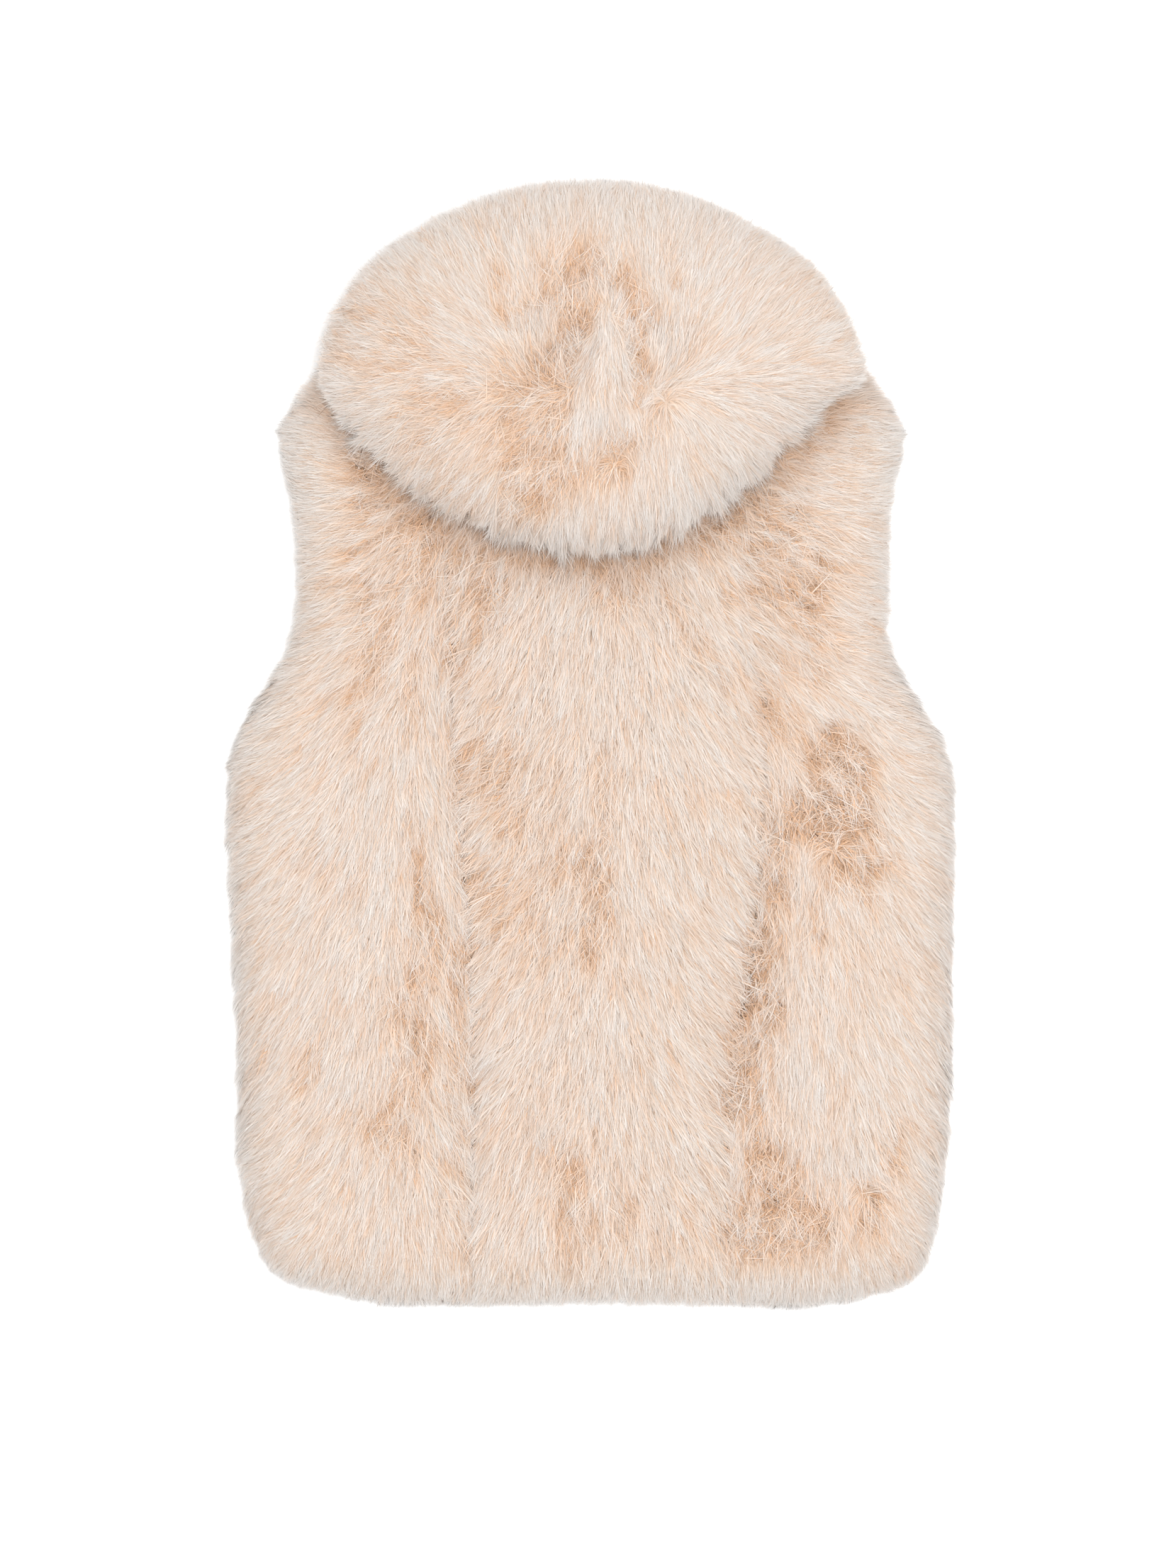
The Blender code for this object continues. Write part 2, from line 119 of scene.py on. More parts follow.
# Stretches where the pile is parted, upright or matted, and sunk; their warmer, darker tone is partly warm
# roots that show and partly painted shade in dents and valleys.
# Columns: x and y of one end, x and y of the other, half width, and how much it is opened there;
# less than nothing is fuller.
HOLLOWS = {
    "body": (
        # Painted shade under the hood's edge, with the pile opened there, from the left shoulder to the right
        # one
        (-0.172, 0.224, -0.152, 0.190, 0.013, 0.55),
        (-0.148, 0.182, -0.122, 0.155, 0.020, 0.60),
        (-0.110, 0.140, -0.060, 0.140, 0.018, 0.40),
        (-0.045, 0.130, 0.030, 0.130, 0.010, 0.45),
        (0.045, 0.137, 0.085, 0.150, 0.016, 0.50),
        (0.085, 0.160, 0.165, 0.225, 0.014, 0.55),
        # The full shoulders
        (-0.196, 0.215, -0.196, 0.175, 0.018, -0.30),
        (0.200, 0.222, 0.200, 0.180, 0.018, -0.40),
        # The full hem
        (-0.190, -0.380, 0.190, -0.380, 0.014, -0.25),
        # Upper back, left
        (-0.140, 0.145, -0.138, 0.112, 0.022, 0.25),
        (-0.166, 0.195, -0.165, 0.120, 0.014, 0.30),
        (-0.155, 0.105, -0.155, 0.045, 0.014, 0.50),
        (-0.110, 0.112, -0.075, 0.110, 0.018, 0.40),
        (-0.072, 0.098, -0.098, 0.060, 0.013, 0.45),
        (-0.125, 0.065, -0.125, 0.025, 0.008, 0.30),
        (-0.167, 0.030, -0.165, 0.012, 0.010, 0.35),
        # Upper back, right
        (0.120, 0.178, 0.142, 0.165, 0.020, 0.40),
        (0.125, 0.140, 0.155, 0.125, 0.021, 0.65),
        (0.105, 0.104, 0.155, 0.098, 0.012, 0.50),
        (0.152, 0.110, 0.158, 0.080, 0.012, 0.45),
        (0.137, 0.060, 0.158, 0.048, 0.009, 0.50),
        (0.010, 0.110, 0.055, 0.100, 0.015, 0.30),
        (0.070, 0.070, 0.100, 0.045, 0.011, 0.30),
        (0.130, 0.030, 0.130, 0.010, 0.013, 0.45),
        # The dent in the right side, round a pale tuft
        (0.170, 0.005, 0.177, -0.010, 0.011, 0.95),
        (0.172, -0.018, 0.168, -0.048, 0.021, 1.30),
        (0.183, -0.012, 0.192, -0.060, 0.011, 0.85),
        (0.160, -0.050, 0.135, -0.060, 0.015, 1.10),
        (0.175, -0.081, 0.192, -0.090, 0.011, 0.80),
        (0.192, -0.088, 0.212, -0.082, 0.008, 0.45),
        (0.170, -0.101, 0.195, -0.105, 0.008, 0.45),
        # The valley along the right seam
        (0.131, -0.065, 0.131, -0.100, 0.008, 0.60),
        (0.129, -0.105, 0.120, -0.150, 0.011, 0.55),
        (0.121, -0.145, 0.122, -0.185, 0.014, 0.70),
        (0.118, -0.190, 0.106, -0.250, 0.015, 0.85),
        (0.112, -0.262, 0.132, -0.300, 0.018, 0.45),
        (0.155, -0.112, 0.158, -0.138, 0.010, 0.35),
        # Above the right end of the hem, with a whorl
        (0.125, -0.312, 0.130, -0.335, 0.021, 1.00),
        (0.152, -0.340, 0.118, -0.348, 0.021, 1.00),
        (0.187, -0.309, 0.195, -0.317, 0.005, 0.50),
        (0.200, -0.320, 0.197, -0.345, 0.009, 0.85),
        (0.222, -0.270, 0.213, -0.300, 0.009, 0.40),
        # The valley along the left seam
        (-0.125, -0.060, -0.120, -0.110, 0.010, 0.35),
        (-0.110, -0.125, -0.120, -0.165, 0.013, 0.55),
        (-0.095, -0.150, -0.090, -0.260, 0.010, 0.45),
        (-0.135, -0.190, -0.120, -0.212, 0.014, 0.70),
        (-0.122, -0.230, -0.135, -0.255, 0.012, 0.45),
        (-0.150, -0.268, -0.138, -0.282, 0.016, 0.75),
        (-0.100, -0.285, -0.090, -0.355, 0.010, 0.40),
        (-0.197, -0.215, -0.203, -0.245, 0.007, 0.45),
        # Painted warm shade in the valleys along both seams, with the pile opened there
        (-0.101, 0.090, -0.094, -0.040, 0.006, 0.14),
        (-0.094, -0.040, -0.084, -0.250, 0.006, 0.12),
        (0.122, 0.070, 0.124, -0.040, 0.006, 0.14),
        (0.124, -0.040, 0.100, -0.250, 0.006, 0.10),
        # The parting down the middle
        (0.010, -0.005, 0.012, -0.065, 0.008, 0.35),
        (-0.012, -0.082, -0.004, -0.078, 0.010, 0.60),
        (0.003, -0.095, 0.006, -0.130, 0.012, 0.60),
        (-0.002, -0.140, -0.001, -0.155, 0.007, 0.55),
        (-0.080, -0.005, -0.074, -0.030, 0.015, 0.45),
        (-0.085, -0.088, -0.065, -0.130, 0.012, 0.25),
        (-0.058, -0.015, -0.045, -0.130, 0.038, 0.28),
        (-0.014, -0.300, -0.014, -0.335, 0.010, 0.60),
        (-0.013, -0.352, -0.015, -0.370, 0.010, 0.40),
        (0.026, -0.325, 0.027, -0.345, 0.007, 0.40),
        (-0.030, -0.265, 0.025, -0.325, 0.035, 0.12),
        # The thinner right side
        (0.205, -0.100, 0.215, -0.160, 0.030, 0.10),
    ),
    "hood": (
        # The arch above the crest
        (-0.020, 0.325, 0.013, 0.333, 0.013, 0.52),
        (-0.036, 0.328, -0.004, 0.348, 0.011, 0.40),
        (0.022, 0.326, 0.040, 0.300, 0.009, 0.65),
        (-0.012, 0.315, -0.012, 0.298, 0.010, 0.75),
        # Down the crest's left side
        (-0.042, 0.306, -0.022, 0.314, 0.008, 0.55),
        (-0.009, 0.295, -0.021, 0.276, 0.009, 1.00),
        (-0.027, 0.267, -0.052, 0.246, 0.010, 0.60),
        (-0.023, 0.264, -0.026, 0.220, 0.011, 0.75),
        (-0.055, 0.224, -0.046, 0.198, 0.015, 0.75),
        (-0.024, 0.192, -0.036, 0.176, 0.016, 0.95),
        (-0.056, 0.180, -0.048, 0.165, 0.012, 0.45),
        # Down its right side
        (0.030, 0.295, 0.037, 0.262, 0.006, 0.75),
        (0.040, 0.258, 0.030, 0.240, 0.006, 0.55),
        (0.052, 0.234, 0.045, 0.222, 0.007, 0.45),
        (0.014, 0.212, 0.020, 0.190, 0.011, 0.65),
        (0.028, 0.214, 0.033, 0.211, 0.007, 0.45),
        (-0.010, 0.195, 0.004, 0.190, 0.010, 0.35),
        # Small partings round it
        (-0.062, 0.301, -0.060, 0.299, 0.006, 0.65),
        (-0.065, 0.333, -0.064, 0.318, 0.007, 0.45),
        (-0.063, 0.269, -0.067, 0.249, 0.006, 0.45),
        (-0.094, 0.241, -0.090, 0.228, 0.007, 0.50),
        (0.054, 0.344, 0.061, 0.318, 0.005, 0.35),
        # Painted shade on the hood's left side, which is turned from the light, with the pile opened there
        (-0.145, 0.280, -0.095, 0.190, 0.045, 0.30),
        # The full pale crest
        (0.009, 0.298, 0.008, 0.270, 0.009, -0.08),
        (-0.005, 0.225, -0.006, 0.210, 0.007, -0.08),
    ),
}
# Tufts whose strands lie out from one place: x, y and radius
BURSTS = {
    "body": ((0.172, -0.0755, 0.016), (0.194, -0.3185, 0.012)),
    "hood": ((0.0163, 0.1940, 0.012), (0.0520, 0.2385, 0.012)),
}

# Kinds of strand: how many for each long one, how far it lies over, how deep it is rooted, its width, how far
# its heading strays in degrees, how much paler it is, where its colour starts between root and tip, and
# whether it bends
Kind = namedtuple("Kind", "each lean depth width stray paler starts bent")
KINDS = (
    Kind(each=1.0, lean=0.024, depth=0.0075, width=0.00060, stray=7, paler=0.0, starts=0.0, bent=True),
    Kind(each=1.5, lean=0.014, depth=0.0035, width=0.00034, stray=12, paler=0.05, starts=0.3, bent=False),
)
AHEAD = 0.5  # share of a strand's lean in front of the place where it is sown
SAG = 0.35  # how far it turns down as it lies over
LOWEST = 0.0004  # no strand goes below this height
LIFT = 0.4  # how far shading normals on an upright face turn up, as light gets through a rim's pile
WIDEST_AT = 0.45  # where along it a bent strand is widest
BEND_DEPTH = 0.85  # shares of a strand's depth and lean at its bend
BEND_LEAN = 0.15
BEND_SPREAD = 0.0012
OPEN_BEND_SPREAD = 0.002  # added to that where the pile is fully open

# How strands differ from each other
TONE_SPREAD = 0.10
TONE_LIMITS = (0.02, 0.98)
LENGTH_SPREAD = 0.22
LENGTH_LIMITS = (0.4, 1.7)
WIDTH_SPREAD = 0.25
WIDTH_LIMITS = (0.5, 1.7)
TWIST_SPREAD = 0.45
TILT_SPREAD = 0.35
RISE = -0.0012  # how far a tip is from the solid's face, and the spread of that
RISE_SPREAD = 0.0016
RIM_SPREAD = 0.5  # share of both on an upright face
STANDING = 0.07  # share of strands that stand out from the rest, and by how much
STANDING_RISE = 0.003
PALENESS = 0.83  # tone of ordinary strands, from 0, warm, to 1, pale
STREAKS = 0.10  # share of strands and of locks that are warmer, and by how much
WARM_STREAK = 0.35

# Noise: how much it turns headings or changes tones, with the size of its cells
HEADING_WAVES = ((9, 0.025), (6, 0.010))
TONE_WAVES = ((0.05, 0.050), (0.05, 0.014))
MOTTLE_CELL = 0.0032
PATCH_CELL = 0.013
STROKE_CELL = 0.0050
NOISE_CELLS = 64
NOISE_SHIFT = 31.7  # in cells, which keeps the origin between grid lines
STREAK_STEPS = (-0.009, -0.006, -0.003, 0.0, 0.003, 0.006, 0.009)  # how far noise is drawn out along the pile
STREAK_GAIN = 2.2  # makes up for what is lost in that
STROKE_TONE = 0.12  # how much the long tufts along the pile differ in tone and height
STROKE_RISE = 0.0010

# Locks, large and small: their spacing, how far strands close up in them, and the share of warmer ones
LOCK_KINDS = ((0.0060, 0.15, 0), (0.0020, 0.35, STREAKS))
LOCK_GRID = (97, 89)
LOCK_JITTER = (0.1, 0.9)
LOCK_TURN = 5
LOCK_TONE = 0.05
LOCK_LENGTH = 0.14

# Open stretches of the pile
MOTTLE_MEAN = 1.25  # how far the amounts in HOLLOWS count on average, and how unevenly
MOTTLE = {"body": 0.85, "hood": 0.45}
SMALL_GAPS = {"body": 0.42, "hood": 0.15}  # how far the pile is opened in small patches elsewhere
SMALL_GAP_FROM = 0.45  # noise beyond this makes such a patch
SMALL_GAP_MOST = 0.6
SMALL_GAP_STREAKS = 0.6  # how much the noise that is drawn out along the pile counts in that
FULLEST = -0.5  # limits of how far the pile is opened
MOST_OPEN = {"body": 1.25, "hood": 0.95}
HOLLOW_SINK = 0.0028  # how far pile and cloth sink where it is fully open
OPEN_STRAY = 28  # how many degrees more headings stray there
OPEN_ROOTS_AND_SHADE = 0.90  # how much warmer and darker strands are: partly roots that show, partly painted shade
OPEN_LEAN = 0.55  # and how much less they lie over
OWN_SHARE = 0.85  # how far a single strand follows that, its spread and limits
OWN_SPREAD = 0.25
OWN_LEAST = 0.05
OWN_MOST = 1.6
TUFT_SHUT = 2.5  # how much less the longer locks do
ROOT_AND_SHADE_SHOWS = {"body": 0.45, "hood": 0.10}  # how near to its root's colour a strand stays in deep hollows, partly as painted shade
ROOT_FROM = 0.6  # where those start, and how far on this grows
ROOT_RANGE = 0.8

# Rims, seams and the hood's edge
RIM_RISE = {"body": 0.0022, "hood": -0.0025}  # how far the pile stands out from a rim
RIM_TUFTS = 0.010  # how much further the longer locks do
RIM_TIPS_AND_SHADE_TONE = 0.25  # how much paler it is there: partly tips where no roots show, partly painted so that a rim's shade looks grey
RIM_OUT = 0.9  # how far its strands turn out from lying down the rim
CROSSING = 0.007  # how far strands lie over a seam
CROSSING_TUFTS = 0.03  # how much further the longer locks do, with the spread and limits
CROSSING_SPREAD = 0.003
CROSSING_LIMITS = (0.001, 0.018)
LEAST_STEP = 1e-3  # the least part of a heading towards a seam to divide by
DROOP = 0.007  # how far the strands of the hood's rim hang down
BESIDE = 0.028  # the body's pile is pushed up within this distance of the hood, and made warmer and darker there as painted shade under the hood's edge
BESIDE_RISE = 0.016
BESIDE_PAINTED_SHADE = -0.45
UNDERSIDE_PAINTED_SHADE = -0.75  # painted shade: the underside of the hood's rim is warmer and darker
FLYING = 0.65  # how much of the way strands of the hood's lower edge go straight on, instead of round it
FLYING_TUFTS = 1.2  # how much more the longer locks do, with the spread and limits
FLYING_SPREAD = 0.25
FLYING_LIMITS = (0.1, 1.2)
OVERHANG = 0.007  # how far the longest of them hang over the back
HANG_LIMITS = (0.4, 1)  # share of that for single strands
HANG_OUT = 0.8  # how much of it is outward, and how much down
HANG_DOWN = 0.5

# Fades: the value where each leaves 0, and how fast it goes to 1 above that, or below it where negative
CREST_FADE = (1, -2.5)  # by the distance across the crest
DOWNHILL_FADE = (0.3, -1)  # by the heading's part towards the hood
UNDERSIDE_FADE = (0.15, -2)  # by the normal's height
HANGING_FADE = (0.6, 1.5)  # by the length of a strand's locks
RESTING_FADE = (-0.8, -5)  # by the normal's height
UPRIGHT_FADE = (0.4, 3)

# Cloth and faces
CLOTH_DEPTH = 0.0065
CLOTH_THICKNESS = 0.0015
RESTING_DEPTH = 0.0006  # its depth where it lies on the surface
FACING_SLOPE = 0.02  # a face whose normal is higher than this faces up, and one lower than minus this down
UPWARD_SLOPE = 0.5  # and one higher than this mostly up
RESTING_SLOPE = -0.9  # a face that rests has a normal lower than this, and is below this height
RESTING_HEIGHT = 0.0005
WELD_DIGITS = 6  # points that agree in this many decimals are one
FACE_CLEARANCE = 0.00008  # less than the gap between two solids
SEAM_GAP = 0.0006  # points this near each other on two panels share one normal
UNDER_EDGE = 0.022  # how far the pile goes on under another layer's edge
LOOK_OUT = 0.030  # a face is covered when something is this near in front of it
PILE_ROOM = 0.004  # pile grows under an edge where there is this much room for it
ASIDE = 0.2  # share of the way to a corner of the second place where a face is tried

# Colours from root to tip of pale and of warm strands, and of the cloth: place and linear colour. Their
# darker, warmer roots and cloth are partly the pile's own colour, partly painted shade deep in the pile
PALE_STOPS = ((0.0, (0.53, 0.325, 0.21)), (0.45, (0.625, 0.495, 0.395)), (0.8, (0.725, 0.69, 0.66)))
WARM_STOPS = ((0.0, (0.465, 0.240, 0.120)), (0.45, (0.59, 0.36, 0.22)), (0.8, (0.70, 0.485, 0.34)))
CLOTH_STOPS = ((0.3, (0.60, 0.415, 0.29)), (0.7, (0.705, 0.555, 0.43)))
CLOTH_STREAKS = (900, 90, 400)  # how fine its streaks are along each axis
CLOTH_DETAIL = 4
CLOTH_BUMP = 0.0015
COLOUR_MAP = "OFBake"  # warm to pale across it, and root to tip up it
MAP_WIDTH = 0.006  # half width of a strand in that map
MAP_MARGIN = 0.02  # how far root and tip stay from the map's edges

# Stage, as seen from straight above
CAMERA_AT = (-0.002, -0.0285, 12.0)
LENS_MM = 389.6
SURROUND = 1.10
KEY_AT = (0.35, 0.15, 6.0)
KEY_SIZE = 1.5
KEY_WATTS = 266
FLOOR_REACH = 6.0
FLOOR_HEIGHT = -0.0004
FLOOR_COLOUR = (0.95, 0.95, 0.95, 1)

rng = np.random.default_rng(SEED)
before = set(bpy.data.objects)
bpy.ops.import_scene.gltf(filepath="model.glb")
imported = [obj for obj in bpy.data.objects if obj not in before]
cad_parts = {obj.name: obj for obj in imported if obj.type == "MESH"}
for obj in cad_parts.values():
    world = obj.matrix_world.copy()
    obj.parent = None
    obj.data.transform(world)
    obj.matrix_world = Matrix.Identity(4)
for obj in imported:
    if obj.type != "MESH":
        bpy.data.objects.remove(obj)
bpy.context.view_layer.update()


def unit(vectors):
    """Vectors brought to a length of 1."""
    return vectors / np.maximum(np.linalg.norm(vectors, axis=-1, keepdims=True), 1e-12)


def fade(values, start, gain):
    """From 0 at the start to 1, by this gain."""
    return np.clip(gain * (values - start), 0, 1)


def up_table(table, columns, name, y):
    """One of a table's columns at these heights up the garment."""
    rows = np.array(table, float)
    return np.interp(y, rows[:, columns.index("y")], rows[:, columns.index(name)])


class Surface:
    """A node's welded triangles, and which of them are open to the air."""

    def __init__(self, node):
        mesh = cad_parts[node].data
        points = np.empty(len(mesh.vertices) * 3)
        mesh.vertices.foreach_get("co", points)
        mesh.calc_loop_triangles()
        corners = np.empty(len(mesh.loop_triangles) * 3, np.int32)
        mesh.loop_triangles.foreach_get("vertices", corners)
        points = points.reshape(-1, 3).round(WELD_DIGITS)
        self.points, welded = np.unique(points, axis=0, return_inverse=True)
        self.triangles = welded.reshape(-1)[corners].reshape(-1, 3)
        a, b, c = (self.points[self.triangles[:, k]] for k in range(3))
        cross = np.cross(b - a, c - a)
        self.areas = np.linalg.norm(cross, axis=1) / 2
        self.normals = unit(cross)
        self.centres = (a + b + c) / 3

    def find_open(self, everything):
        """Faces with nothing just in front of them. A face on the resting plane isn't open."""
        self.resting = (self.centres[:, 2] < RESTING_HEIGHT) & (self.normals[:, 2] < RESTING_SLOPE)
        self.open = self.clear(everything, LOOK_OUT) & ~self.resting

    def clear(self, everything, reach):
        """Which faces have nothing this near in front of two places, as one ray can slip through a seam."""
        free = np.ones(len(self.centres), bool)
        aside = (1 - ASIDE) * self.centres + ASIDE * self.points[self.triangles[:, 0]]
        for place in (self.centres, aside):
            rays = zip(place + FACE_CLEARANCE * self.normals, self.normals)
            free &= np.array([everything.ray_cast(Vector(p), Vector(n), reach)[0] is None for p, n in rays])
        return free

    def find_sown(self, open_tree, everything):
        """Faces that carry pile: the open ones, and those just under the edge of another layer."""
        near = [open_tree.find_nearest(Vector(p), UNDER_EDGE)[0] is not None for p in self.centres]
        roomy = (self.normals[:, 2] > UPWARD_SLOPE) | self.clear(everything, PILE_ROOM) & ~self.resting
        self.sown = self.open | np.array(near) & roomy
        self.vertex_normals = self.smooth_normals(self.sown)

    def smooth_normals(self, chosen):
        """Normals at the points, from the chosen faces that meet there."""
        total = np.zeros_like(self.points)
        for k in range(3):
            np.add.at(total, self.triangles[chosen, k], (self.normals * self.areas[:, None])[chosen])
        return unit(total)


def join_normals(joined):
    """Gives points that meet across a seam one normal, so that the pile runs on over it."""
    points = np.concatenate([s.points for s in joined])
    normals = np.concatenate([s.vertex_normals for s in joined])
    tree = KDTree(len(points))
    for k, point in enumerate(points):
        tree.insert(Vector(point), k)
    tree.balance()
    shared = np.empty_like(normals)
    for k, point in enumerate(points):
        near = [index for _, index, _ in tree.find_range(Vector(point), SEAM_GAP)]
        shared[k] = normals[near].sum(0)
    ends = np.cumsum([len(s.points) for s in joined])
    for s, normal in zip(joined, np.split(unit(shared), ends[:-1])):
        s.vertex_normals = normal


def tree_of(chosen, only_open):
    """A search tree of some surfaces' triangles, all of them or the open ones."""
    points, triangles, offset = [], [], 0
    for s in chosen:
        points.append(s.points)
        triangles.append((s.triangles[s.open] if only_open else s.triangles) + offset)
        offset += len(s.points)
    return BVHTree.FromPolygons(np.concatenate(points).tolist(), np.concatenate(triangles).tolist())


class Noise:
    """Smooth random values between -1 and 1 that change over about one cell."""

    def __init__(self, cell):
        self.cell = cell
        self.grid = rng.uniform(-1, 1, (NOISE_CELLS, NOISE_CELLS))

    def at(self, xy):
        place = xy / self.cell + NOISE_SHIFT
        low = np.floor(place).astype(int)
        t = place - low
        across, up = (t * t * (3 - 2 * t)).T
        i, j = low.T % NOISE_CELLS
        next_i, next_j = (low.T + 1) % NOISE_CELLS
        bottom = self.grid[i, j] * (1 - across) + self.grid[next_i, j] * across
        top = self.grid[i, next_j] * (1 - across) + self.grid[next_i, next_j] * across
        return bottom * (1 - up) + top * up


class Locks:
    """A loose grid of locks, each with a turn, tone and length of its own, in which strands close up."""

    def __init__(self, spacing, closing, streaks):
        self.spacing = spacing
        self.closing = closing
        self.jitter = rng.uniform(*LOCK_JITTER, (*LOCK_GRID, 2))
        self.turn = rng.normal(0, LOCK_TURN, LOCK_GRID)
        self.tone = rng.normal(0, LOCK_TONE, LOCK_GRID) - WARM_STREAK * (rng.random(LOCK_GRID) < streaks)
        self.length = rng.normal(1, LOCK_LENGTH, LOCK_GRID)

    def at(self, xy):
        """The pull towards the nearest lock's middle, and the lock's turn, tone and length."""
        home = np.floor(xy / self.spacing).astype(int)
        best = np.full(len(xy), np.inf)
        pull = np.zeros_like(xy)
        nearest = np.zeros_like(home)
        for step in np.ndindex(3, 3):
            cell = home + np.array(step) - 1
            lock = cell % LOCK_GRID
            middle = (cell + self.jitter[tuple(lock.T)]) * self.spacing
            far = ((xy - middle) ** 2).sum(1)
            closer = far < best
            best[closer] = far[closer]
            pull[closer] = (middle - xy)[closer]
            nearest[closer] = lock[closer]
        lock = tuple(nearest.T)
        return pull * self.closing, self.turn[lock], self.tone[lock], self.length[lock]


def body_heading(xy, table, left, right):
    """The heading at each place of a panel, between its left and right limits."""
    x, y = xy.T
    low = up_table(LIMITS, LIMIT_COLUMNS, left, y)
    high = up_table(LIMITS, LIMIT_COLUMNS, right, y)
    share = np.clip((x - low) / (high - low), 0, 1)
    a, b, c = (up_table(table, COMB_COLUMNS, name, y) for name in ("at_left", "at_middle", "at_right"))
    return np.where(share < 0.5, a + (b - a) * 2 * share, b + (c - b) * (2 * share - 1))


def hood_heading(xy):
    """Out from the hood's hub, and down along its crest."""
    x, y = xy.T
    hub_y = HUB_Y - HUB_SHIFT * np.tanh((y - HUB_Y) / HUB_BLEND)
    out = unit(xy - np.stack([np.clip(x, HUB_LEFT, HUB_RIGHT), hub_y], 1))
    middle = up_table(CREST, CREST_COLUMNS, "middle", y)
    across = (x - middle) / up_table(CREST, CREST_COLUMNS, "half_width", y)
    low, *_, high = (row[CREST_COLUMNS.index("y")] for row in CREST)
    crest = (fade(np.abs(across), *CREST_FADE) * (y > low) * (y < high))[:, None]
    fan = unit(np.stack([CREST_FAN * across, np.full(len(xy), -1.0)], 1))
    lie = out * (1 - crest) + fan * crest
    return np.degrees(np.arctan2(lie[:, 1], lie[:, 0]))


def heading_at(node, xy):
    """Which way a panel's pile lies at each place."""
    if node.startswith("hood"):
        return hood_heading(xy)
    if node == "back_centre":
        return body_heading(xy, COMB_CENTRE, "left_seam", "right_seam")
    if node.endswith("left"):
        return body_heading(xy, COMB_LEFT, "left", "left_seam")
    return body_heading(xy, COMB_RIGHT, "right_seam", "right")


def streaks_at(noise, node, xy):
    """Noise drawn out along the pile."""
    angle = np.radians(heading_at(node, xy))
    lie = np.stack([np.cos(angle), np.sin(angle)], 1)
    return STREAK_GAIN * np.mean([noise.at(xy + step * lie) for step in STREAK_STEPS], axis=0)


def hollow_at(xy, node, layer):
    """How much the pile is opened at each place, and below 0 where it is fuller."""
    total = np.zeros(len(xy))
    for x, y, to_x, to_y, half_width, amount in HOLLOWS[layer]:
        start = np.array([x, y])
        run = np.array([to_x - x, to_y - y])
        share = np.clip(((xy - start) @ run) / (run @ run), 0, 1)
        far = np.linalg.norm(xy - start - share[:, None] * run, axis=1) / half_width
        total += amount * np.exp(-(far**2))
    streaks = streaks_at(mottle, node, xy)
    mottled = np.maximum(MOTTLE_MEAN + MOTTLE[layer] * streaks, 0)
    gaps = np.clip(patches.at(xy) + SMALL_GAP_STREAKS * streaks - SMALL_GAP_FROM, 0, SMALL_GAP_MOST)
    opened = np.where(total > 0, total * mottled, total) + SMALL_GAPS[layer] * gaps
    return np.clip(opened, FULLEST, MOST_OPEN[layer])


def sow(surface, count):
    """Even random places on the faces that carry pile, with their normals."""
    chosen = np.flatnonzero(surface.sown)
    grown = np.cumsum(surface.areas[chosen])
    at = (np.arange(count) + rng.random(count)) / count * grown[-1]
    face = chosen[np.minimum(np.searchsorted(grown, at), len(chosen) - 1)]
    r = np.sqrt(rng.random(count))
    s = rng.random(count)
    weights = np.stack([1 - r, r * (1 - s), r * s], 1)[:, :, None]
    corners = surface.triangles[face]
    places = (surface.points[corners] * weights).sum(1)
    return places, unit((surface.vertex_normals[corners] * weights).sum(1))


def onto(tree, points):
    """The nearest places on a tree's surface, with its normals there."""
    found = [tree.find_nearest(Vector(p)) for p in points]
    return np.array([f[0] for f in found]), np.array([f[1] for f in found])


def closeness(tree, points):
    """From 1 on a tree's surface to 0 away from it."""
    far = [tree.find_nearest(Vector(p), BESIDE)[3] for p in points]
    return np.array([0 if d is None else 1 - d / BESIDE for d in far])


def room_to_seam(node, xy, level):
    """How far each strand of a back panel can lie over before it comes to the next panel."""
    x, y = xy.T
    step = np.where(np.abs(level[:, 0]) < LEAST_STEP, LEAST_STEP, level[:, 0])
    to_left = (up_table(LIMITS, LIMIT_COLUMNS, "left_seam", y) - x) / step
    to_right = (up_table(LIMITS, LIMIT_COLUMNS, "right_seam", y) - x) / step
    if node == "back_centre":
        return np.where(step < 0, to_left, to_right)
    if node == "back_side_left":
        return np.where(step > 0, to_left, np.inf)
    if node == "back_side_right":
        return np.where(step < 0, to_right, np.inf)
    return np.full(len(xy), np.inf)


def burst(xy, level, layer):
    """Turns the strands of a tuft out from its middle."""
    for x, y, radius in BURSTS[layer]:
        out = xy - np.array([x, y])
        near = np.exp(-((np.linalg.norm(out, axis=1) / radius) ** 2))[:, None]
        level[:, :2] = unit(level[:, :2] * (1 - near) + unit(out) * near)
    return level


def lock_up(node, kind, xy, opened):
    """Heading, tone and length of each strand, the pull of its locks, and how long they are."""
    count = len(xy)
    heading = heading_at(node, xy) + rng.normal(0, 1, count) * (kind.stray + OPEN_STRAY * opened)
    for turn, noise in heading_noise:
        heading += turn * noise.at(xy)
    tone = PALENESS + kind.paler + rng.normal(0, TONE_SPREAD, count)
    tone -= WARM_STREAK * (rng.random(count) < STREAKS)
    for amount, noise in tone_noise:
        tone += amount * noise.at(xy)
    length = 1 + LENGTH_SPREAD * rng.normal(0, 1, count)
    pulls = np.zeros((count, 2))
    tufts = []
    for locks in lock_kinds:
        pull, turn, lock_tone, lock_length = locks.at(xy)
        pulls += pull
        heading += turn
        tone += lock_tone
        length *= lock_length
        tufts.append(lock_length)
    return heading, tone, length, pulls, tufts


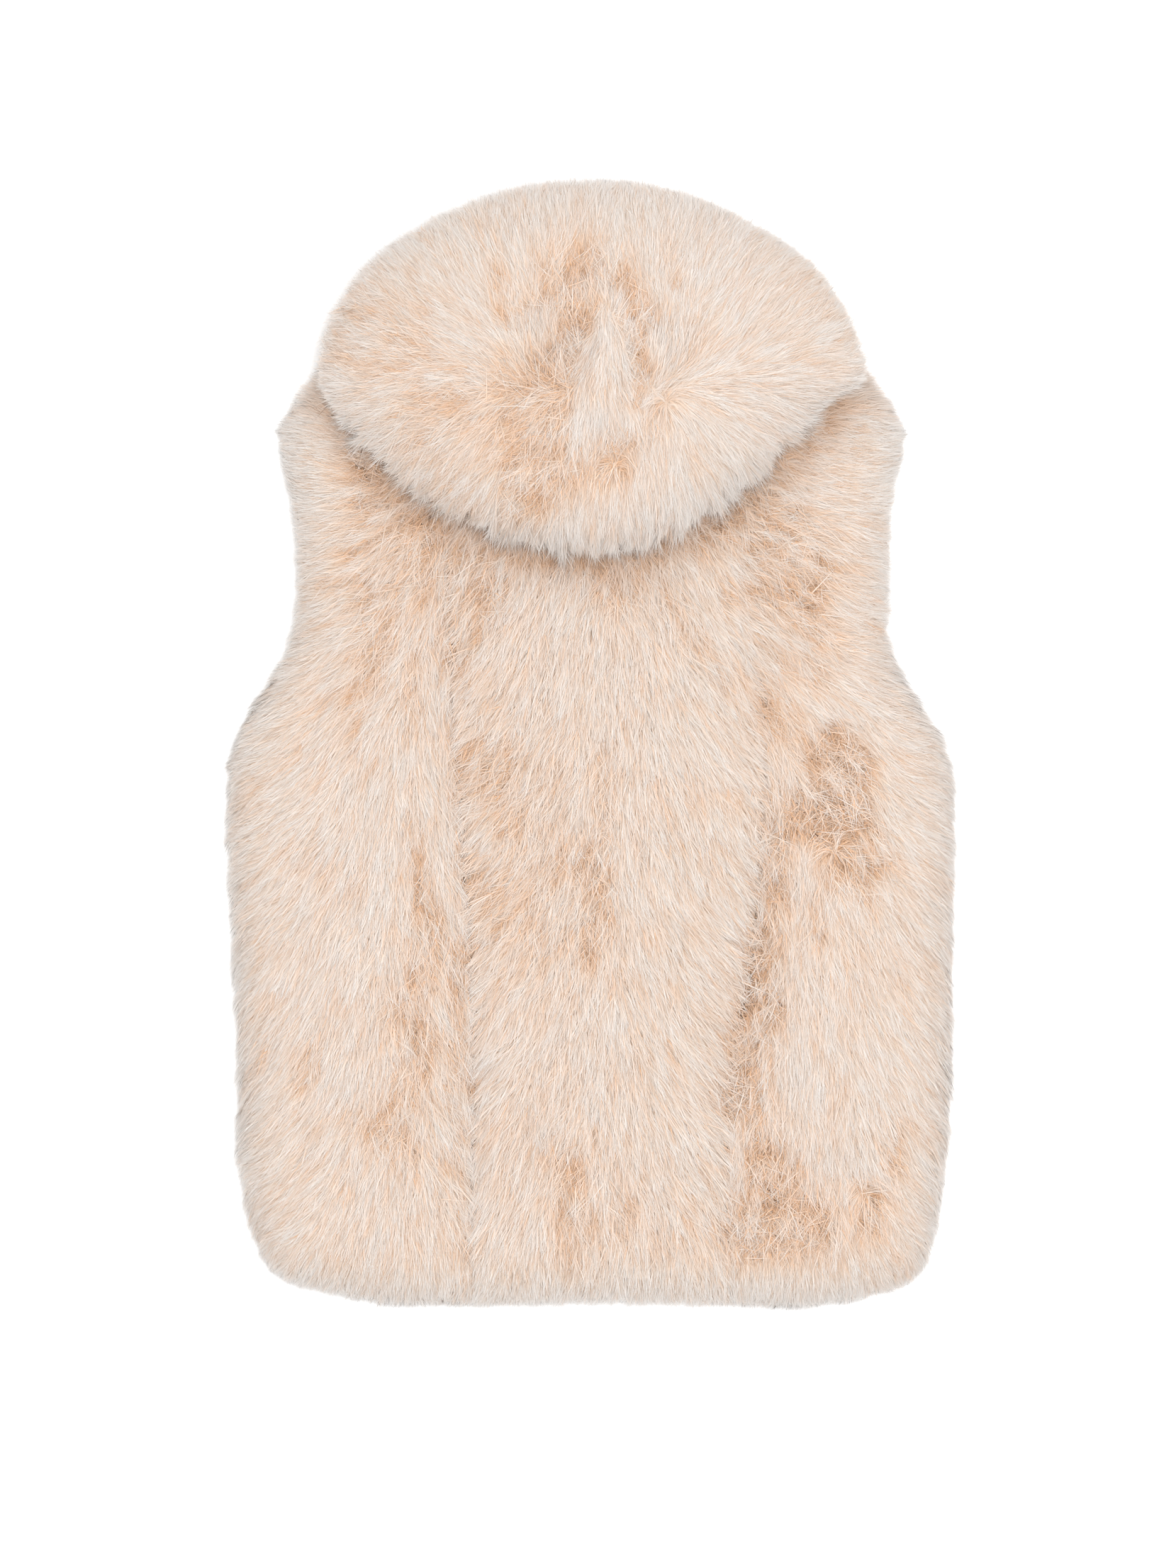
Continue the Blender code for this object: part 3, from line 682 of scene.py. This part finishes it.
def hang_over(onward, level, downhill, tuft, upward):
    """How far tips on the hood go straight on over its lower edge, hang over the back and droop."""
    count = len(onward)
    flying = FLYING + FLYING_TUFTS * (tuft - 1) + rng.normal(0, FLYING_SPREAD, count)
    moved = onward * (downhill * np.clip(flying, *FLYING_LIMITS))[:, None]
    hanging = fade(tuft, *HANGING_FADE) * downhill * (1 - upward)
    overhang = OVERHANG * hanging * rng.uniform(*HANG_LIMITS, count)
    moved += (level * HANG_OUT - np.array([0, 0, HANG_DOWN])) * overhang[:, None]
    moved[:, 2] -= DROOP * (1 - upward) * rng.random(count)
    return moved


def comb(node, layer, kind, places, normals):
    """Root, bend, tip, end normal and tone of each strand of one kind, and how much of its colour shows."""
    xy = places[:, :2]
    count = len(xy)
    hollow = hollow_at(xy, node, layer)
    opened = np.maximum(hollow, 0)
    stroke = streaks_at(strokes, node, xy)
    heading, tone, length, pulls, tufts = lock_up(node, kind, xy, opened)
    tuft = tufts[0] * tufts[1]
    share = rng.normal(OWN_SHARE, OWN_SPREAD, count) - TUFT_SHUT * (tuft - 1)
    own = np.minimum(hollow * np.clip(share, OWN_LEAST, OWN_MOST), OWN_MOST)

    angle = np.radians(heading)
    level = burst(xy, np.stack([np.cos(angle), np.sin(angle), np.zeros(count)], 1), layer)
    downhill = fade(level[:, 1], *DOWNHILL_FADE)
    upward = np.clip(normals[:, 2], 0, 1)
    # Warmer and darker where opened, partly painted shade; paler on rims, partly painted so that their shade
    # looks grey
    tone += STROKE_TONE * stroke - OPEN_ROOTS_AND_SHADE * own + RIM_TIPS_AND_SHADE_TONE * (1 - upward)
    # Painted shade on the underside of the hood's rim
    if layer == "hood":
        tone += UNDERSIDE_PAINTED_SHADE * downhill * fade(normals[:, 2], *UNDERSIDE_FADE)

    lie = level - np.array([0, 0, SAG])
    lie = unit(lie - normals * (lie * normals).sum(1, keepdims=True))
    lie = unit(lie + level * (RIM_OUT * (1 - upward))[:, None])
    lean = kind.lean * np.clip(length, *LENGTH_LIMITS) * (1 - OPEN_LEAN * own)
    depth = (kind.depth + HOLLOW_SINK * hollow)[:, None]
    root = places - normals * depth - lie * (lean * (1 - AHEAD))[:, None]
    crossing = CROSSING + CROSSING_TUFTS * (tuft - 1) + rng.normal(0, CROSSING_SPREAD, count)
    room = np.maximum(room_to_seam(node, xy, level), 0) + np.clip(crossing, *CROSSING_LIMITS)
    target = places + lie * np.minimum(lean * AHEAD, room)[:, None]
    target[:, :2] += pulls * (upward**2)[:, None]
    end, end_normal = onto(layer_trees[layer], target)

    standing = rng.random(count) < STANDING
    rise = rng.normal(RISE, RISE_SPREAD, count) * (RIM_SPREAD + (1 - RIM_SPREAD) * upward)
    rise += standing * STANDING_RISE * upward + STROKE_RISE * stroke - HOLLOW_SINK * own
    rise += (1 - upward) * (RIM_RISE[layer] + RIM_TUFTS * (tufts[0] - 1))
    if layer == "body":
        beside = closeness(layer_trees["hood"], places)
        rise += BESIDE_RISE * beside
        # Painted shade beside the hood: warmer, darker pile
        tone += BESIDE_PAINTED_SHADE * beside
    tip = end + end_normal * rise[:, None]
    if layer == "hood":
        tip += hang_over(target - end, level, downhill, tuft, upward)
    bend = root + normals * (BEND_DEPTH * depth) + lie * (lean * BEND_LEAN)[:, None]
    bend += rng.normal(0, 1, bend.shape) * (BEND_SPREAD + OPEN_BEND_SPREAD * opened)[:, None]
    # Strands in deep hollows keep near their root's colour: partly roots that show, partly painted shade
    shown = 1 - ROOT_AND_SHADE_SHOWS[layer] * np.clip(own - ROOT_FROM, 0, ROOT_RANGE)
    return root, bend, tip, end_normal, np.clip(tone, *TONE_LIMITS), shown


def shape_strands(kind, root, bend, tip, start_normal, end_normal, tone, shown):
    """Points, faces, map and normals of strands: bent ones are widest partway up, others at the root."""
    count = len(root)
    along = tip - root
    outward = start_normal + end_normal
    side = unit(np.cross(along, outward))
    twist = rng.normal(0, TWIST_SPREAD, count)[:, None]
    side = unit(side * np.cos(twist) + unit(np.cross(side, along)) * np.sin(twist))
    half_width = kind.width / 2 * np.clip(rng.normal(1, WIDTH_SPREAD, count), *WIDTH_LIMITS)
    turned = (np.cross(side, along) * outward).sum(1) < 0
    half = side * np.where(turned, -half_width, half_width)[:, None]
    tilt = side * rng.normal(0, TILT_SPREAD, count)[:, None]
    if kind.bent:
        shares = (0.0, WIDEST_AT, WIDEST_AT, 1.0)
        sides = (0, -1, 1, 0)
        pattern = np.array([(0, 2, 1), (1, 2, 3)])
    else:
        shares = (0.0, 0.0, 1.0)
        sides = (-1, 1, 0)
        pattern = np.array([(0, 1, 2)])
    points = np.empty((count, len(shares), 3))
    normals = np.empty_like(points)
    uv = np.empty((count, len(shares), 2))
    for k, (share, across) in enumerate(zip(shares, sides)):
        middle = root * (1 - share) + tip * share
        if kind.bent:
            middle = (1 - share) ** 2 * root + 2 * share * (1 - share) * bend + share**2 * tip
        points[:, k] = middle + half * across
        normal = unit(start_normal * (1 - share) + end_normal * share)
        normal[:, 2] += LIFT * (1 - np.abs(normal[:, 2]))
        normals[:, k] = unit(normal + tilt)
        uv[:, k, 0] = tone + MAP_WIDTH * across
        colour_at = (kind.starts + (1 - kind.starts) * share) * shown
        uv[:, k, 1] = MAP_MARGIN + (1 - 2 * MAP_MARGIN) * colour_at
    points[:, :, 2] = np.maximum(points[:, :, 2], LOWEST)
    faces = (np.arange(count)[:, None, None] * len(shares) + pattern[None]).reshape(-1, 3)
    return points.reshape(-1, 3), faces, uv.reshape(-1, 2), normals.reshape(-1, 3)


def add_object(name, data):
    """A new object in the scene."""
    thing = bpy.data.objects.new(name, data)
    bpy.context.scene.collection.objects.link(thing)
    return thing


def mesh_of(name, points, faces, uv=None, normals=None):
    """A triangle mesh from arrays."""
    mesh = bpy.data.meshes.new(name)
    mesh.vertices.add(len(points))
    mesh.vertices.foreach_set("co", points.astype(np.float32).ravel())
    mesh.loops.add(faces.size)
    mesh.loops.foreach_set("vertex_index", faces.astype(np.int32).ravel())
    mesh.polygons.add(len(faces))
    mesh.polygons.foreach_set("loop_start", np.arange(0, faces.size, 3, dtype=np.int32))
    mesh.update(calc_edges=True)
    if uv is not None:
        layer = mesh.uv_layers.new(name=COLOUR_MAP)
        layer.data.foreach_set("uv", uv[faces.ravel()].astype(np.float32).ravel())
    mesh.shade_smooth()
    if normals is not None:
        mesh.normals_split_custom_set_from_vertices(normals.astype(np.float32))
    mesh.validate()
    return add_object(name, mesh)


def add_pile(node, layer, long_strands):
    """The pile of one panel: all its strands as one mesh."""
    parts = []
    first_point = 0
    for kind in KINDS:
        places, normals = sow(surfaces[node], int(long_strands * kind.each))
        root, bend, tip, end_normal, tone, shown = comb(node, layer, kind, places, normals)
        strands = shape_strands(kind, root, bend, tip, normals, end_normal, tone, shown)
        points, faces, uv, shading_normals = strands
        parts.append((points, faces + first_point, uv, shading_normals))
        first_point += len(points)
    piece = mesh_of("pile_" + node, *(np.concatenate(part) for part in zip(*parts)))
    piece.data.materials.append(pile_material)
    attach(piece, "root")
    return piece


def add_cloth(node, layer):
    """The cloth that carries a panel's pile: its free face moved in, as a thin shell."""
    surface = surfaces[node]
    height = surface.normals[:, 2]
    if node == "hood_inner":
        outer = height < UPWARD_SLOPE
    elif node.startswith("front") or node == "hood_mouth":
        outer = height < -FACING_SLOPE
    else:
        outer = height > FACING_SLOPE
    chosen = outer | surface.open
    normals = surface.smooth_normals(chosen)
    resting = fade(normals[:, 2], *RESTING_FADE)
    upright = fade(normals[:, 2], *UPRIGHT_FADE)[:, None]
    hollow = hollow_at(surface.points[:, :2], node, layer)
    depth = (CLOTH_DEPTH + HOLLOW_SINK * hollow) * (1 - resting) + RESTING_DEPTH * resting
    inward = unit(normals * (1 - upright) + np.array([0, 0, 1]) * upright)
    rim = surface.smooth_normals(surface.open) * np.array([1, 1, 0])
    points = surface.points - inward * depth[:, None] - rim * (CLOTH_DEPTH * resting)[:, None]
    used, faces = np.unique(surface.triangles[chosen], return_inverse=True)
    piece = mesh_of("cloth_" + node, points[used], faces.reshape(-1, 3))
    wall = piece.modifiers.new("thickness", "SOLIDIFY")
    wall.thickness = CLOTH_THICKNESS
    wall.offset = -1
    piece.data.materials.append(cloth_material)
    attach(piece, "root")
    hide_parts(node)
    return piece


def new_material(name, roughness, gloss):
    """A plain material, with its nodes, links and shader."""
    material = bpy.data.materials.new(name)
    material.use_nodes = True
    tree = material.node_tree
    shader = tree.nodes["Principled BSDF"]
    shader.inputs["Roughness"].default_value = roughness
    shader.inputs["Specular IOR Level"].default_value = gloss
    return material, tree.nodes, tree.links, shader


def ramp(nodes, stops):
    """A colour ramp with these stops: place and linear colour."""
    node = nodes.new("ShaderNodeValToRGB")
    elements = node.color_ramp.elements
    while len(elements) < len(stops):
        elements.new(0.5)
    for element, (place, colour) in zip(elements, stops):
        element.position = place
        element.color = (*colour, 1)
    return node


def make_pile_material():
    """Cream strands, warmer and darker towards the root, partly as painted shade deep in the pile, each with
    its own tone.
    """
    material, nodes, links, shader = new_material("pile", roughness=0.6, gloss=0.1)
    place = nodes.new("ShaderNodeUVMap")
    place.uv_map = COLOUR_MAP
    split = nodes.new("ShaderNodeSeparateXYZ")
    links.new(place.outputs["UV"], split.inputs[0])
    mix = nodes.new("ShaderNodeMix")
    mix.data_type = "RGBA"
    links.new(split.outputs["X"], mix.inputs["Factor"])
    for stops, end in ((WARM_STOPS, "A"), (PALE_STOPS, "B")):
        colour = ramp(nodes, stops)
        links.new(split.outputs["Y"], colour.inputs["Fac"])
        links.new(colour.outputs["Color"], mix.inputs[end])
    links.new(mix.outputs["Result"], shader.inputs["Base Color"])
    return material


def make_cloth_material():
    """The short dense undercoat and backing: warm tan with fine streaks, partly painted warm shade deep in the
    pile.
    """
    material, nodes, links, shader = new_material("undercoat", roughness=0.9, gloss=0.2)
    place = nodes.new("ShaderNodeTexCoord")
    stretch = nodes.new("ShaderNodeMapping")
    stretch.inputs["Scale"].default_value = CLOTH_STREAKS
    links.new(place.outputs["Object"], stretch.inputs["Vector"])
    streaks = nodes.new("ShaderNodeTexNoise")
    streaks.inputs["Scale"].default_value = 1
    streaks.inputs["Detail"].default_value = CLOTH_DETAIL
    links.new(stretch.outputs["Vector"], streaks.inputs["Vector"])
    tint = ramp(nodes, CLOTH_STOPS)
    links.new(streaks.outputs["Fac"], tint.inputs["Fac"])
    links.new(tint.outputs["Color"], shader.inputs["Base Color"])
    bump = nodes.new("ShaderNodeBump")
    bump.inputs["Distance"].default_value = CLOTH_BUMP
    links.new(streaks.outputs["Fac"], bump.inputs["Height"])
    links.new(bump.outputs["Normal"], shader.inputs["Normal"])
    return material


def add_floor():
    """A wide white surface just under the garment."""
    mesh = bpy.data.meshes.new("floor")
    corners = [(FLOOR_REACH * x, FLOOR_REACH * y, 0) for x, y in ((-1, -1), (1, -1), (1, 1), (-1, 1))]
    mesh.from_pydata(corners, [], [(0, 1, 2, 3)])
    floor = add_object("floor", mesh)
    floor.location.z = FLOOR_HEIGHT
    material, _, _, shader = new_material("floor", roughness=0.9, gloss=0.1)
    shader.inputs["Base Color"].default_value = FLOOR_COLOUR
    mesh.materials.append(material)


def add_lights():
    """An even white surround, and a soft square light aimed at the middle of the garment."""
    world = bpy.data.worlds.new("studio")
    world.use_nodes = True
    background = world.node_tree.nodes["Background"]
    background.inputs["Color"].default_value = (1, 1, 1, 1)
    background.inputs["Strength"].default_value = SURROUND
    bpy.context.scene.world = world
    lamp = bpy.data.lights.new("key", "AREA")
    lamp.size = KEY_SIZE
    lamp.energy = KEY_WATTS
    light = add_object("key", lamp)
    light.location = KEY_AT
    light.rotation_euler = (-Vector(KEY_AT)).to_track_quat("-Z", "Y").to_euler()


def add_camera():
    """A long lens looking straight down."""
    lens = bpy.data.cameras.new("camera")
    lens.lens = LENS_MM
    camera = add_object("camera", lens)
    camera.location = CAMERA_AT
    bpy.context.scene.camera = camera
    bpy.context.scene.view_settings.view_transform = "Standard"


add_camera()
add_lights()
add_floor()

surfaces = {panel.node: Surface(panel.node) for panel in PANELS}
everything = tree_of(surfaces.values(), only_open=False)
for surface in surfaces.values():
    surface.find_open(everything)
layer_surfaces = {name: [surfaces[p.node] for p in PANELS if p.layer == name] for name in LAYERS}
layer_trees = {name: tree_of(layer_surfaces[name], only_open=True) for name in LAYERS}
for panel in PANELS:
    surfaces[panel.node].find_sown(layer_trees[panel.layer], everything)
for name in LAYERS:
    join_normals(layer_surfaces[name])

heading_noise = [(turn, Noise(cell)) for turn, cell in HEADING_WAVES]
tone_noise = [(amount, Noise(cell)) for amount, cell in TONE_WAVES]
lock_kinds = [Locks(*kind) for kind in LOCK_KINDS]
mottle = Noise(MOTTLE_CELL)
patches = Noise(PATCH_CELL)
strokes = Noise(STROKE_CELL)

pile_material = make_pile_material()
cloth_material = make_cloth_material()
for node, layer, slot, strands, cut in PANELS:
    cloth = add_cloth(node, layer)
    pile = add_pile(node, layer, strands)
